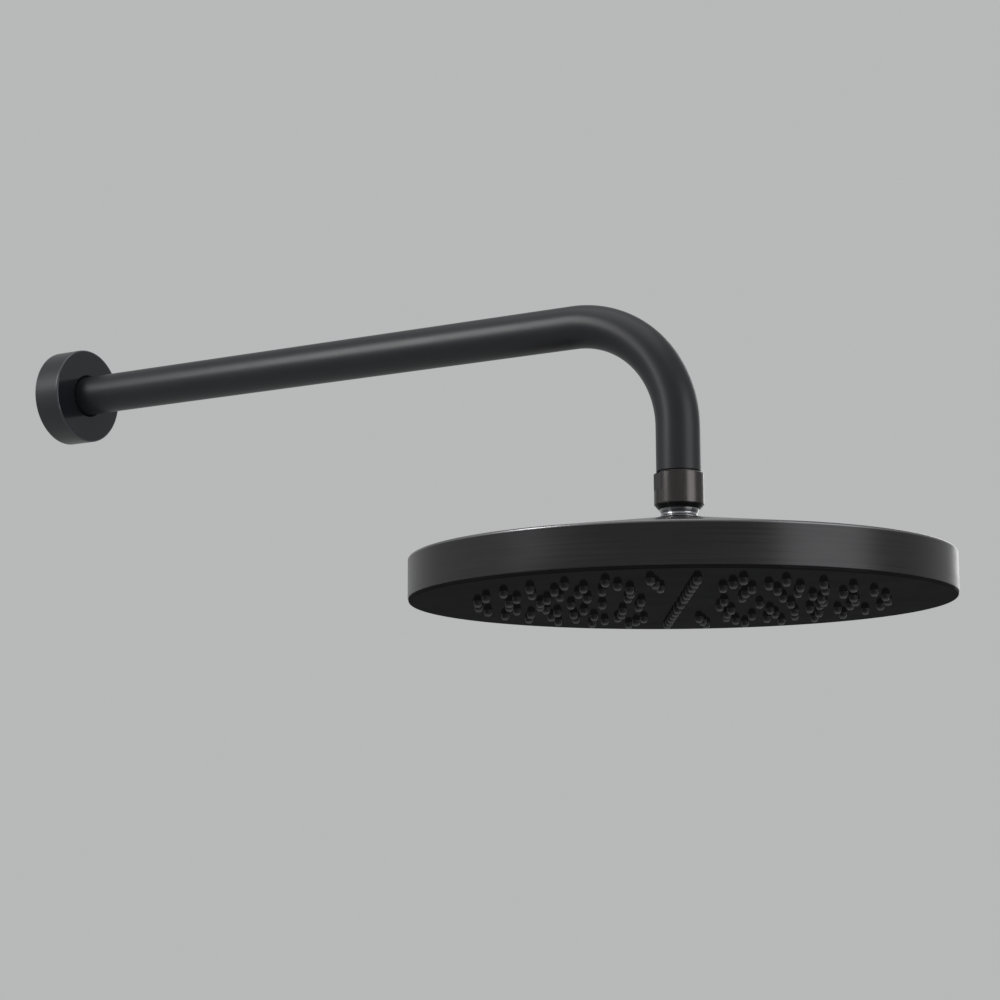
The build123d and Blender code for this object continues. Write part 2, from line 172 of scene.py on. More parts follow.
def length(name, description, default):
    """Property for a size in metres."""
    return measure(name, description, default, unit="LENGTH", precision=4)


def bearing(name, description, default):
    """Property for an angle in radians."""
    return measure(name, description, default, subtype="ANGLE")


def wattage(name, description, default):
    """Property for a lamp's power in watts."""
    return measure(name, description, default, unit="POWER")


def tint(name, description, default):
    """Property for a colour."""
    return FloatVectorProperty(
        name=name,
        description=description,
        default=default,
        size=3,
        min=0.0,
        max=1.0,
        subtype="COLOR",
    )


class ArmSettings(bpy.types.PropertyGroup):
    """Bent tube, its wall thread and the flange that slides on it"""

    tube_diameter: length("Tube diameter", "Outside of the tube", width("arm_tube", Y))
    tube_wall: length("Tube wall", "Thickness of the tube's wall", 2.0 * MM)
    bend_radius: length("Bend radius", "Bend of the tube's centre line", 65.0 * MM)
    tube_edge: length("Tube edge", "Rounding of the tube's cut ends", 0.3 * MM)
    thread_pitch: length("Thread pitch", "Pitch of the pipe thread", 1.814 * MM)
    thread_depth: length("Thread depth", "Crest to root of the pipe thread", 1.162 * MM)
    thread_diameter: length("Thread diameter", "Pipe thread over its crests", 20.955 * MM)
    nipple_bore: length("Nipple bore", "Waterway through the wall thread", 13.0 * MM)
    flange_edge: length("Flange edge", "Rounding of the flange's front edge", 1.2 * MM)
    flange_wall: length("Flange wall", "Side wall of the flange", 1.6 * MM)
    flange_face: length("Flange face", "Front wall of the flange", 3.0 * MM)
    flange_hub: length("Flange hub", "Width of the hub around the tube", 6.0 * MM)
    flange_hub_depth: length("Flange hub depth", "Hub's end behind the front face", 6.5 * MM)
    flange_gap: length("Flange gap", "Play between the flange and the tube", 0.25 * MM)
    colour: tint("Arm colour", "Satin coating of the arm and the flange", (0.0100, 0.0106, 0.0132))
    brass: tint("Brass", "Bare brass of the wall thread", (0.66, 0.47, 0.21))


class JointSettings(bpy.types.PropertyGroup):
    """Collar, retaining ring and ball of the swivel"""

    flats: length("Across flats", "Across the collar's two spanner flats", 25.8 * MM)
    flat_height: length("Flat height", "Spanner flats, down from the collar's top", 10.0 * MM)
    flat_angle: bearing("Flat angle", "Direction of the first flat", radians(50.0))
    collar_edge: length("Collar edge", "Bevel of the collar's edges", 0.5 * MM)
    ring_bevel: length("Ring bevel", "Bevel under the retaining ring", 2.2 * MM)
    ball_diameter: length("Ball diameter", "Ball of the swivel", 23.0 * MM)
    ball_play: length("Ball play", "Gap between the ball and its seat", 0.1 * MM)
    neck_diameter: length("Neck diameter", "Waist below the ball", 20.2 * MM)
    bell_edge: length("Bell edge", "Upright edge under the flared bell", 0.35 * MM)
    stem_diameter: length("Stem diameter", "Shank inside the head", 18.0 * MM)
    stem_bore: length("Stem bore", "Waterway through the ball", 11.0 * MM)
    gunmetal: tint("Gunmetal", "Brushed metal of the collar", (0.080, 0.0765, 0.0755))
    chrome: tint("Chrome", "Plating of the ball and the bell", (0.30, 0.305, 0.315))
    black: tint("Turned black", "Blackened retaining ring", (0.005, 0.005, 0.0055))


class HeadSettings(bpy.types.PropertyGroup):
    """Cover, face and nozzles of the head"""

    land_diameter: length("Land diameter", "Flat under the bell", 27.0 * MM)
    cone_rise: length("Cone rise", "Height of the back above the rim's top edge", 22.3 * MM)
    wall: length("Cover wall", "Thickness of the cover", 1.5 * MM)
    top_edge: length("Rim top edge", "Rounding of the rim's upper edge", 1.2 * MM)
    bottom_edge: length("Rim bottom edge", "Rounding of the rim's lower edge", 0.4 * MM)
    face_edge: length("Face edge", "Rounding of the face's edge under the rim", 0.9 * MM)
    nozzle_rings: IntVectorProperty(
        name="Nozzles",
        description="Nozzles on each ring, from the outside in",
        default=(30, 30, 30, 12, 8, 6),
        size=6,
    )
    nozzle_margin: length("Nozzle margin", "Rim to the outermost ring", 38.0 * MM)
    nozzle_inner_ring: length("Inner ring", "Radius of the innermost ring", 26.0 * MM)
    nozzle_spoke: bearing("First spoke", "Direction that starts all rings", radians(-60.0))
    nozzle_root: length("Nozzle root", "Nozzle where it leaves the sheet", 5.2 * MM)
    nozzle_tip: length("Nozzle tip", "Nozzle near its end", 4.4 * MM)
    nozzle_round: length("Nozzle rounding", "Rounding of the nozzle's end", 2.0 * MM)
    nozzle_orifice: length("Orifice", "Hole in a nozzle", 1.2 * MM)
    nozzle_sides: IntProperty(
        name="Nozzle sides", description="Faces round one nozzle", default=12, min=6
    )
    colour: tint("Cover colour", "Dark metal of the cover", (0.031, 0.0306, 0.0318))
    face: tint("Face colour", "Gloss black of the face", (0.0075, 0.0075, 0.0080))
    rubber: tint("Rubber colour", "Soft nozzles and seals", (0.009, 0.009, 0.0095))


class StageSettings(bpy.types.PropertyGroup):
    """Camera, lights, floor and surroundings"""

    camera: FloatVectorProperty(
        name="Camera",
        description="Place of the camera",
        default=(0.96163, -1.06242, -0.29419),
        subtype="TRANSLATION",
    )
    heading: bearing("Heading", "Turn of the view from +Y towards -X", 0.5330)
    pitch: bearing("Pitch", "Upward tilt of the view", 0.1590)
    roll: bearing("Roll", "Roll of the view", -0.0035)
    lens: measure("Lens", "Focal length in millimetres on a 36 mm sensor", 77.38)
    floor_drop: length("Floor drop", "Floor below the wall thread", 2.0)
    floor_radius: length("Floor radius", "Reach of the floor", 40.0)
    floor: tint("Floor colour", "Pale floor", (0.80, 0.80, 0.79))
    surroundings: tint("Surroundings", "Pale room around the floor", (0.80, 0.805, 0.81))
    room_light: measure(
        "Room light", "Strength of the surroundings", 0.60, min=0.0, max=1.0, subtype="FACTOR"
    )
    key_power: wattage("Key", "Softbox in front of the arm", 20.0)
    side_power: wattage("Side", "Softbox on the wall's side", 0.9)
    strip_power: wattage("Strip", "Strip light beyond the head", 12.0)
    edge_power: wattage("Edge", "Softbox behind the head", 4.0)
    top_power: wattage("Top", "Softbox overhead", 10.0)


class Wire:
    """A socket of a finish. Arithmetic on it adds Math nodes."""

    def __init__(self, finish, socket):
        self.finish = finish
        self.socket = socket

    def join(self, operation, first, second):
        """Result of a Math node on two values."""
        return self.finish.add("ShaderNodeMath", {"operation": operation}, {0: first, 1: second})

    def __add__(self, other):
        return self.join("ADD", self, other)

    def __radd__(self, other):
        return self.join("ADD", other, self)

    def __sub__(self, other):
        return self.join("SUBTRACT", self, other)

    def __rsub__(self, other):
        return self.join("SUBTRACT", other, self)

    def __mul__(self, other):
        return self.join("MULTIPLY", self, other)

    def __rmul__(self, other):
        return self.join("MULTIPLY", other, self)


class Finish:
    """One procedural material: a Principled shader and the nodes that feed it."""

    def __init__(self, name, **constants):
        self.material = bpy.data.materials.new(name)
        self.material.use_nodes = True
        self.tree = self.material.node_tree
        self.tree.nodes.clear()
        self.shader = self.tree.nodes.new("ShaderNodeBsdfPrincipled")
        output = self.tree.nodes.new("ShaderNodeOutputMaterial")
        self.tree.links.new(self.shader.outputs["BSDF"], output.inputs["Surface"])
        for socket, value in constants.items():
            self.shader.inputs[socket.replace("_", " ")].default_value = value
        self.place = self.add("ShaderNodeTexCoord", {}, {}, "Object")

    def fill(self, socket, value):
        """Links a wire into a socket, or sets the socket to a plain value."""
        if isinstance(value, Wire):
            self.tree.links.new(value.socket, socket)
        else:
            socket.default_value = value

    def add(self, kind, settings, sockets, output=0):
        """Wire from a new node: its settings first, then the values or links of its sockets."""
        node = self.tree.nodes.new(kind)
        for name, value in settings.items():
            setattr(node, name, value)
        for key, value in sockets.items():
            self.fill(self.find(node.inputs, key), value)
        return Wire(self, self.find(node.outputs, output))

    def find(self, sockets, key):
        """Socket with a number, an identifier or a name."""
        by_identifier = {socket.identifier: socket for socket in sockets}
        return by_identifier.get(key) or sockets[key]

    def vector_maths(self, operation, first, second):
        """Result of a Vector Math node on two vectors."""
        return self.add("ShaderNodeVectorMath", {"operation": operation}, {0: first, 1: second})

    def stretch(self, scale, vector=None):
        """Object coordinates, or another vector, multiplied along each axis."""
        return self.vector_maths("MULTIPLY", vector or self.place, scale)

    def from_head(self):
        """Object coordinates measured from the head's axis."""
        return self.vector_maths("SUBTRACT", self.place, (HEAD_X, 0.0, 0.0))

    def radius(self, across, vector=None):
        """Distance from an axis: the length of a place without its coordinate along that axis."""
        place = self.stretch(across, vector)
        return self.add("ShaderNodeVectorMath", {"operation": "LENGTH"}, {0: place}, "Value")

    def noise(self, scale, detail=2.0, vector=None):
        """Soft noise from 0 to 1, of so many waves a metre along all axes or along each axis."""
        waves = (scale,) * 3 if isinstance(scale, float) else scale
        place = self.stretch(waves, vector)
        return self.add(
            "ShaderNodeTexNoise",
            {"noise_dimensions": "3D"},
            {"Vector": place, "Scale": 1.0, "Detail": detail, "Roughness": 0.55},
            "Fac",
        )

    def part(self, axis, vector=None):
        """One coordinate of the place on the object."""
        return self.add("ShaderNodeSeparateXYZ", {}, {0: vector or self.place}, axis)

    def ease(self, value, start, end):
        """0 below start, 1 above end, smooth between."""
        return self.add(
            "ShaderNodeMapRange",
            {"interpolation_type": "SMOOTHSTEP"},
            {"Value": value, "From Min": start, "From Max": end},
            "Result",
        )

    def blend(self, factor, first, second):
        """Mix of two colours."""
        return self.add(
            "ShaderNodeMix",
            {"data_type": "RGBA"},
            {"Factor_Float": factor, "A_Color": first, "B_Color": second},
            "Result_Color",
        )

    def bump(self, height, strength, distance):
        """Feeds a height to the shader's normal."""
        relief = {"Height": height, "Strength": strength, "Distance": distance}
        normal = self.add("ShaderNodeBump", {}, relief, "Normal")
        self.fill(self.shader.inputs["Normal"], normal)

    def paint(self, colour, roughness):
        """Feeds colour and roughness to the shader."""
        self.fill(self.shader.inputs["Base Color"], colour)
        self.fill(self.shader.inputs["Roughness"], roughness)


def shade(colour, factor):
    """Colour with alpha, made lighter or darker by a factor."""
    return tuple(min(1.0, channel * factor) for channel in colour) + (1.0,)


def satin_coat(name, colour, roughness):
    """Satin black coating: faint cloudy tone, fine grain in gloss and surface."""
    finish = Finish(name, Specular_IOR_Level=0.32)
    cloud = finish.noise(42.0)
    grain = finish.noise(2400.0)
    finish.paint(
        finish.blend(cloud, shade(colour, 0.82), shade(colour, 1.2)),
        roughness - 0.07 + 0.08 * cloud + 0.06 * grain,
    )
    finish.bump(grain, 0.10, 0.03 * MM)
    return finish.material


def flange_coat(colour, front, outer):
    """Flange coating: fine turned lines on the side, polished front face, painted front-edge highlight."""
    finish = Finish("flange_satin_black", Specular_IOR_Level=0.42)
    polished = finish.ease(finish.part("X"), front - 1.3 * MM, front - 0.1 * MM)
    radius = finish.radius((0.0, 1.0, 1.0))
    lines = finish.noise((5200.0, 30.0, 30.0), 3.0)
    cloud = finish.noise(55.0)
    # Painted highlight: a thin band on the rounded front edge, lightened up to eight times in colour below.
    painted_edge_highlight = finish.ease(finish.part("X"), front - 1.1 * MM, front - 0.5 * MM) * finish.ease(
        radius, outer - 1.1 * MM, outer - 0.5 * MM
    )
    coat = finish.blend(cloud, shade(colour, 0.85), shade(colour, 1.25))
    finish.paint(
        finish.blend(painted_edge_highlight * (0.2 + 0.4 * lines), coat, shade(colour, 8.0)),
        0.13 * polished + (0.26 + 0.14 * lines) * (1.0 - polished) + 0.04 * cloud,
    )
    finish.bump(lines * (1.0 - polished), 0.16, 0.03 * MM)
    return finish.material


def cover_coat(colour, rim_top, outer):
    """Cover: dark metal brushed round the rim, glossier spun back with rings, painted top-edge highlight."""
    finish = Finish("cover_satin_black", Metallic=0.8, Specular_IOR_Level=0.24)
    back = finish.ease(finish.part("Z"), rim_top - 1.0 * MM, rim_top + 0.4 * MM)
    radius = finish.radius((1.0, 1.0, 0.0), finish.from_head())
    along = finish.add("ShaderNodeCombineXYZ", {}, {"X": radius})
    rings = finish.noise((1900.0, 1.0, 1.0), 2.0, along)
    brushed = finish.noise((14.0, 14.0, 1150.0), 4.0)
    cloud = finish.noise((24.0, 24.0, 60.0))
    # Painted highlight: a thin band on the rim's rounded top edge, lightened up to seven times in colour below.
    painted_edge_highlight = finish.ease(finish.part("Z"), rim_top - 1.5 * MM, rim_top - 0.8 * MM) * finish.ease(
        radius, outer - 1.6 * MM, outer - 0.8 * MM
    )
    coat = finish.blend(0.35 * cloud + 0.65 * brushed, shade(colour, 0.55), shade(colour, 1.50))
    finish.paint(
        finish.blend(painted_edge_highlight * (0.5 + 0.4 * cloud), coat, shade(colour, 7.0)),
        0.22 + 0.06 * cloud + 0.10 * brushed - 0.06 * back + 0.05 * back * rings,
    )
    finish.bump(brushed * (1.0 - back) + 0.5 * rings * back, 0.10, 0.03 * MM)
    return finish.material


def brushed_gunmetal(colour, flats, flat_angle, step):
    """Brushed metal: long upright scratches, warm and cool by turns, smooth flats with painted shade.

    The flats lie at half the size across flats from the axis, along their own direction and above
    the step.
    """
    finish = Finish("brushed_gunmetal", Metallic=1.0)
    centred = finish.from_head()
    scratch = finish.noise((2600.0, 2600.0, 60.0), 4.0, centred)
    band = finish.noise((170.0, 170.0, 6.0), 2.0, centred)
    warm = (colour[0] * 1.08, colour[1] * 1.01, colour[2] * 0.99)
    tone = finish.blend(band, shade(colour, 0.62), shade(warm, 1.25))
    forward, sideways = finish.part("X", centred), finish.part("Y", centred)
    out = forward * cos(flat_angle) + sideways * sin(flat_angle)
    far = finish.add("ShaderNodeMath", {"operation": "ABSOLUTE"}, {0: out})
    # Mask of the flats: smoother and less scratched there, and darkened in colour as painted shade in their
    # recess.
    milled_flats_painted_shade = finish.ease(far, flats / 2 - 0.2 * MM, flats / 2 - 0.03 * MM) * finish.ease(
        finish.part("Z"), step - 0.25 * MM, step + 0.05 * MM
    )
    brushed = finish.blend(scratch, shade(colour, 0.55), tone)
    # Painted shade: the flats blend most of the way towards a colour about a fifth as bright.
    finish.paint(
        finish.blend(milled_flats_painted_shade * 0.75, brushed, shade(colour, 0.22)),
        0.18 + 0.18 * scratch - 0.02 * milled_flats_painted_shade,
    )
    finish.bump(scratch * (1.0 - 0.6 * milled_flats_painted_shade), 0.22, 0.04 * MM)
    return finish.material


def turned_black(colour):
    """Blackened turned metal: fine rings round the axis, worn lighter here and there."""
    finish = Finish("turned_black", Specular_IOR_Level=0.45)
    lines = finish.noise((40.0, 40.0, 6500.0), 3.0)
    rub = finish.noise(260.0, 3.0)
    finish.paint(
        finish.blend(rub, shade(colour, 0.8), shade(colour, 1.7)),
        0.30 + 0.14 * lines,
    )
    finish.bump(lines, 0.12, 0.03 * MM)
    return finish.material


def polished_chrome(colour):
    """Chrome plate: mirror with a breath of haze."""
    finish = Finish("polished_chrome", Metallic=1.0)
    haze = finish.noise(130.0, 3.0)
    lines = finish.noise((30.0, 30.0, 5200.0), 2.0)
    finish.paint(
        finish.blend(haze, shade(colour, 0.92), shade(colour, 1.08)),
        0.19 + 0.06 * haze + 0.04 * lines,
    )
    finish.bump(lines, 0.02, 0.02 * MM)
    return finish.material


def gloss_black(colour):
    """Gloss black face: deep and even under a thin clear coat with faint polishing swirls."""
    finish = Finish("gloss_black_face", Specular_IOR_Level=0.0, Coat_Roughness=0.06)
    haze = finish.noise(38.0, 3.0)
    swirl = finish.noise((700.0, 90.0, 90.0), 3.0)
    finish.paint(
        finish.blend(haze, shade(colour, 0.7), shade(colour, 1.4)),
        0.30 + 0.10 * haze + 0.06 * swirl,
    )
    finish.fill(finish.shader.inputs["Coat Weight"], 0.022 + 0.012 * haze + 0.010 * swirl)
    finish.bump(swirl, 0.015, 0.02 * MM)
    return finish.material


def soft_rubber(name, colour, tip=None):
    """Soft moulded rubber: dull, with faint bloom and fine grain, painted highlight towards a nozzle's tip."""
    finish = Finish(name, Specular_IOR_Level=0.2)
    bloom = finish.noise(300.0, 3.0)
    grain = finish.noise(3600.0, 2.0)
    tone = finish.blend(bloom, shade(colour, 0.75), shade(colour, 1.6))
    if tip is not None:
        # Painted highlight: the rubber lightens up to eight times towards the nozzle's lit lower end.
        pale = 1.0 - finish.ease(finish.part("Z"), tip + 0.3 * MM, tip + 1.7 * MM)
        tone = finish.blend(pale * (0.7 + 0.3 * bloom), tone, shade(colour, 8.0))
    finish.paint(tone, 0.36 + 0.16 * grain + 0.05 * bloom)
    finish.bump(grain, 0.10, 0.03 * MM)
    return finish.material


def machined_brass(colour):
    """Machined brass: bright turning lines with a brown tarnish in patches."""
    finish = Finish("machined_brass", Metallic=1.0)
    lines = finish.noise((4200.0, 60.0, 4200.0), 3.0)
    tarnish = finish.noise(210.0, 4.0)
    aged = (colour[0] * 0.52, colour[1] * 0.44, colour[2] * 0.36)
    finish.paint(
        finish.blend(finish.ease(tarnish, 0.38, 0.72), shade(colour, 1.05), shade(aged, 1.0)),
        0.22 + 0.16 * lines + 0.12 * tarnish,
    )
    finish.bump(lines, 0.10, 0.03 * MM)
    return finish.material


def moulded_plastic(name, colour):
    """Moulded plastic: faint flow marks and a fine spark-eroded grain."""
    finish = Finish(name, Specular_IOR_Level=0.5)
    flow = finish.noise((60.0, 60.0, 20.0), 2.0)
    grain = finish.noise(2600.0, 2.0)
    finish.paint(
        finish.blend(flow, shade(colour, 0.88), shade(colour, 1.1)),
        0.38 + 0.12 * grain,
    )
    finish.bump(grain, 0.15, 0.04 * MM)
    return finish.material


def bright_steel():
    """Stainless steel: rolled grain along one way."""
    finish = Finish("stainless_steel", Metallic=1.0)
    grain = finish.noise((3800.0, 120.0, 120.0), 3.0)
    cloud = finish.noise(90.0, 2.0)
    finish.paint(
        finish.blend(cloud, shade(STEEL_DARK, 1.0), shade(STEEL_LIGHT, 1.0)),
        0.22 + 0.18 * grain,
    )
    finish.bump(grain, 0.10, 0.02 * MM)
    return finish.material


def pale_floor(colour, room, room_light):
    """Matt pale floor with a faint cloudy tone, which passes into the room's tone further out."""
    finish = Finish("pale_floor", Specular_IOR_Level=0.0, Emission_Strength=room_light)
    cloud = finish.noise(1.1, 3.0)
    far = finish.ease(finish.radius((1.0, 1.0, 0.0), finish.from_head()), *FLOOR_FADE)
    tone = finish.blend(cloud, shade(colour, 0.98), shade(colour, 1.02))
    finish.paint(finish.blend(far, tone, BLACK), 0.86 + 0.08 * cloud)
    finish.fill(finish.shader.inputs["Emission Color"], finish.blend(far, BLACK, shade(room, 1.0)))
    return finish.material


def outline(corners, steps=7, hold=0.35 * MM):
    """Closed outline of (radius, height, rounding) corners.

    A rounded corner is an arc whose centre lies on the corner's bisector at rounding / sin(half
    the corner's angle). Its points turn evenly from one tangent point to the other, and each
    straight run gets a holding point near both of its ends. Equal neighbours are dropped.
    """
    corners = np.array([tuple(corner) + (0.0,) * (3 - len(corner)) for corner in corners])
    point, rounding = corners[:, :2], corners[:, 2]
    back = np.roll(point, 1, axis=0) - point
    ahead = np.roll(point, -1, axis=0) - point
    back /= np.linalg.norm(back, axis=1, keepdims=True)
    ahead /= np.linalg.norm(ahead, axis=1, keepdims=True)
    half = np.arccos(np.clip((back * ahead).sum(axis=1), -1.0, 1.0)) / 2
    bisector = (back + ahead) / np.linalg.norm(back + ahead, axis=1, keepdims=True)
    centre = point + bisector * (rounding / np.sin(half))[:, None]
    reach = (rounding / np.tan(half))[:, None]
    first, last = point + back * reach, point + ahead * reach
    turn = (pi - 2 * half)[:, None, None]
    part = np.linspace(0.0, 1.0, steps)[None, :, None]
    from_first = np.sin((1 - part) * turn) * (first - centre)[:, None]
    from_last = np.sin(part * turn) * (last - centre)[:, None]
    arc = centre[:, None] + (from_first + from_last) / np.sin(turn)
    run = np.linalg.norm(np.roll(first, -1, axis=0) - last, axis=1)
    after = last + ahead * np.minimum(hold, run / 4)[:, None]
    before = first + back * np.minimum(hold, np.roll(run, 1) / 4)[:, None]
    rows = np.concatenate((before[:, None], arc, after[:, None]), axis=1).reshape(-1, 2)
    return rows[np.linalg.norm(rows - np.roll(rows, 1, axis=0), axis=1) > TINY]


def circle_run(centre, radius, start, end, steps):
    """Points (radius, height) on a circle: centre plus radius times (cos a, sin a), evenly in a."""
    angle = np.linspace(start, end, steps)
    return np.array(centre) + radius * np.stack((np.cos(angle), np.sin(angle)), axis=1)


def around(columns):
    """Angles of a full turn in even steps."""
    return np.arange(columns) * (2 * pi / columns)


def turned(radius, height, columns, axes=UPRIGHT, origin=HEAD_AXIS):
    """Grid of a profile turned about an axis.

    The point at radius r and height h, turned by the angle a, is the origin plus r cos a and
    r sin a along the first two directions plus h along the third. The radius may differ from
    column to column.
    """
    angle = around(columns)
    radius = radius if np.ndim(radius) == 2 else radius[:, None]
    spread = np.stack((radius * np.cos(angle), radius * np.sin(angle)), axis=-1) @ axes[:2]
    return origin + spread + (height[:, None, None] * axes[2])


def ring_faces(rows, columns):
    """Quads of a grid that closes on itself both ways."""
    row, column = np.meshgrid(np.arange(rows), np.arange(columns), indexing="ij")
    upper, lower = row * columns, (row + 1) % rows * columns
    beside = (column + 1) % columns
    corners = (upper + column, upper + beside, lower + beside, lower + column)
    return np.stack(corners, axis=-1).reshape(-1, 4)


def outwards(points, faces):
    """The faces, turned round if the volume that they enclose comes out negative."""
    a, b, c, d = (points[faces[:, corner]] for corner in range(4))
    volume = (a * np.cross(b, c)).sum() + (a * np.cross(c, d)).sum()
    return faces if volume > 0 else faces[:, ::-1]


def put_piece(name, points, faces, finish, body, nodes, crease=CREASE):
    """Mesh object at the origin from points and quads, riding on a body in place of CAD nodes."""
    points = points.reshape(-1, 3)
    mesh = bpy.data.meshes.new(name)
    mesh.from_pydata(points.tolist(), [], outwards(points, faces).tolist())
    mesh.shade_smooth()
    mesh.set_sharp_from_angle(angle=radians(crease))
    mesh.materials.append(finish)
    piece = bpy.data.objects.new(name, mesh)
    bpy.context.scene.collection.objects.link(piece)
    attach(piece, body)
    if nodes:
        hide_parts(*nodes)
    return piece


def put_grid(name, grid, finish, body, nodes, crease=CREASE):
    """Piece from one grid that closes on itself both ways."""
    return put_piece(name, grid, ring_faces(*grid.shape[:2]), finish, body, nodes, crease)


class SHOWER_OT_arm_tube(bpy.types.Operator):
    """Build the bent tube of the arm, outside, inside and both cut ends"""

    bl_idname = "shower.arm_tube"
    bl_label = "Arm tube"

    def execute(self, context):
        arm = context.scene.shower_arm
        start, end = low("arm_tube", X), low("arm_tube", Z)
        run = HEAD_X - arm.bend_radius - start
        bend = arm.bend_radius * pi / 2
        total = run + bend - end - arm.bend_radius
        edge = arm.tube_edge
        even = np.concatenate(
            (
                np.linspace(edge, run, RUN_ROWS)[:-1],
                np.linspace(run, run + bend, BEND_ROWS)[:-1],
                np.linspace(run + bend, total - edge, DROP_ROWS),
            )
        )
        outer = arm.tube_diameter / 2
        station = np.concatenate(([0.0], even, [total, total], even[::-1], [0.0]))
        bore = np.full(len(even) + 2, outer - arm.tube_wall)
        radius = np.concatenate(([outer - edge], np.full(len(even), outer), [outer - edge], bore))
        grid = self.sweep(station, radius, run, bend, start, arm.bend_radius)
        finish = satin_coat("arm_satin_black", arm.colour, ARM_ROUGHNESS)
        put_grid("arm_tube_skin", grid, finish, "arm", ["arm_tube"])
        return {"FINISHED"}

    def sweep(self, station, radius, run, bend, start, bend_radius):
        """Ring of each station along the run, the bend and the drop.

        The centre line turns by (station - run) / bend radius, held between 0 and a quarter turn.
        A ring point is the centre plus radius times (cos a outwards + sin a sideways), outwards
        being +Z on the run and +X on the drop.
        """
        turn = np.clip((station - run) / bend_radius, 0.0, pi / 2)
        along = start + np.minimum(station, run) + bend_radius * np.sin(turn)
        rise = bend_radius * (np.cos(turn) - 1.0) - np.maximum(station - run - bend, 0.0)
        angle = around(TUBE_COLUMNS)
        out, side = radius[:, None] * np.cos(angle), radius[:, None] * np.sin(angle)
        forward = along[:, None] + out * np.sin(turn)[:, None]
        upward = rise[:, None] + out * np.cos(turn)[:, None]
        return np.stack((forward, side, upward), axis=-1)


class SHOWER_OT_wall_thread(bpy.types.Operator):
    """Cut the pipe thread on the arm's wall end"""

    bl_idname = "shower.wall_thread"
    bl_label = "Wall thread"

    def execute(self, context):
        arm = context.scene.shower_arm
        node = "inlet_nipple"
        tip, shoulder_end = low(node, X), low("arm_tube", X)
        crest, bore = arm.thread_diameter / 2, arm.nipple_bore / 2
        shoulder = width(node, Y) / 2
        spigot = arm.tube_diameter / 2 - arm.tube_wall - SOLDER_GAP
        height = np.linspace(tip, 0.0, THREAD_ROWS)
        thread = self.thread(height, crest, arm.thread_pitch, arm.thread_depth, tip)
        tail = outline(
            (
                (bore, tip),
                (crest, 0.0),
                (shoulder, 0.0, 0.3 * MM),
                (shoulder, shoulder_end, 0.2 * MM),
                (spigot, shoulder_end),
                (spigot, high(node, X)),
                (bore, high(node, X)),
            )
        )
        tail = tail[tail[:, 1] > TINY]
        after = np.vstack((tail, (bore, tip)))
        radius = np.vstack((thread, np.repeat(after[:, :1], THREAD_COLUMNS, axis=1)))
        height = np.concatenate((height, after[:, 1]))
        grid = turned(radius, height, THREAD_COLUMNS, ALONG_ARM, ARM_AXIS)
        finish = machined_brass(arm.brass)
        put_grid("wall_thread", grid, finish, "arm", [node], THREAD_CREASE)
        return {"FINISHED"}

    def thread(self, height, crest, pitch, depth, tip):
        """Radius of a rounded thread.

        At height h and angle a it is the crest less depth times (1 - cos(2 pi h / pitch - a)) / 2,
        held under a 45 degree lead-in at the tip and drawn down to the root towards its inner end.
        """
        turns = height[:, None] / pitch
        wave = 0.5 - 0.5 * np.cos(2 * pi * turns - around(THREAD_COLUMNS))
        fade = np.clip((turns + RUN_OUT) / (RUN_OUT - RUN_OUT_END), 0.0, 1.0)
        radius = crest - depth * np.maximum(wave, fade)
        return np.minimum(radius, crest - LEAD_IN + (height - tip)[:, None])


class SHOWER_OT_wall_flange(bpy.types.Operator):
    """Turn the cup-shaped wall flange"""

    bl_idname = "shower.wall_flange"
    bl_label = "Wall flange"

    def execute(self, context):
        arm = context.scene.shower_arm
        node = "wall_flange"
        outer, front = width(node, Y) / 2, high(node, X)
        inner = outer - arm.flange_wall
        bore = arm.tube_diameter / 2 + arm.flange_gap
        groove = high("flange_o_ring", Y) + GROOVE_PLAY
        groove_low = low("flange_o_ring", X) - GROOVE_PLAY
        groove_high = high("flange_o_ring", X) + GROOVE_PLAY
        hub, hub_end = bore + arm.flange_hub, front - arm.flange_hub_depth
        ceiling = front - arm.flange_face
        profile = outline(
            (
                (inner, 0.0, 0.2 * MM),
                (outer, 0.0, 0.3 * MM),
                (outer, front, arm.flange_edge),
                (bore + BORE_BEVEL, front, 0.2 * MM),
                (bore, front - BORE_BEVEL, 0.2 * MM),
                (bore, groove_high),
                (groove, groove_high),
                (groove, groove_low),
                (bore, groove_low),
                (bore, hub_end, 0.3 * MM),
                (hub, hub_end, 0.5 * MM),
                (hub, ceiling, 1.0 * MM),
                (inner, ceiling, 1.0 * MM),
            )
        )
        grid = turned(*profile.T, FLANGE_COLUMNS, ALONG_ARM, ARM_AXIS)
        finish = flange_coat(arm.colour, front, outer)
        put_grid("wall_flange_cup", grid, finish, "flange", [node])
        return {"FINISHED"}


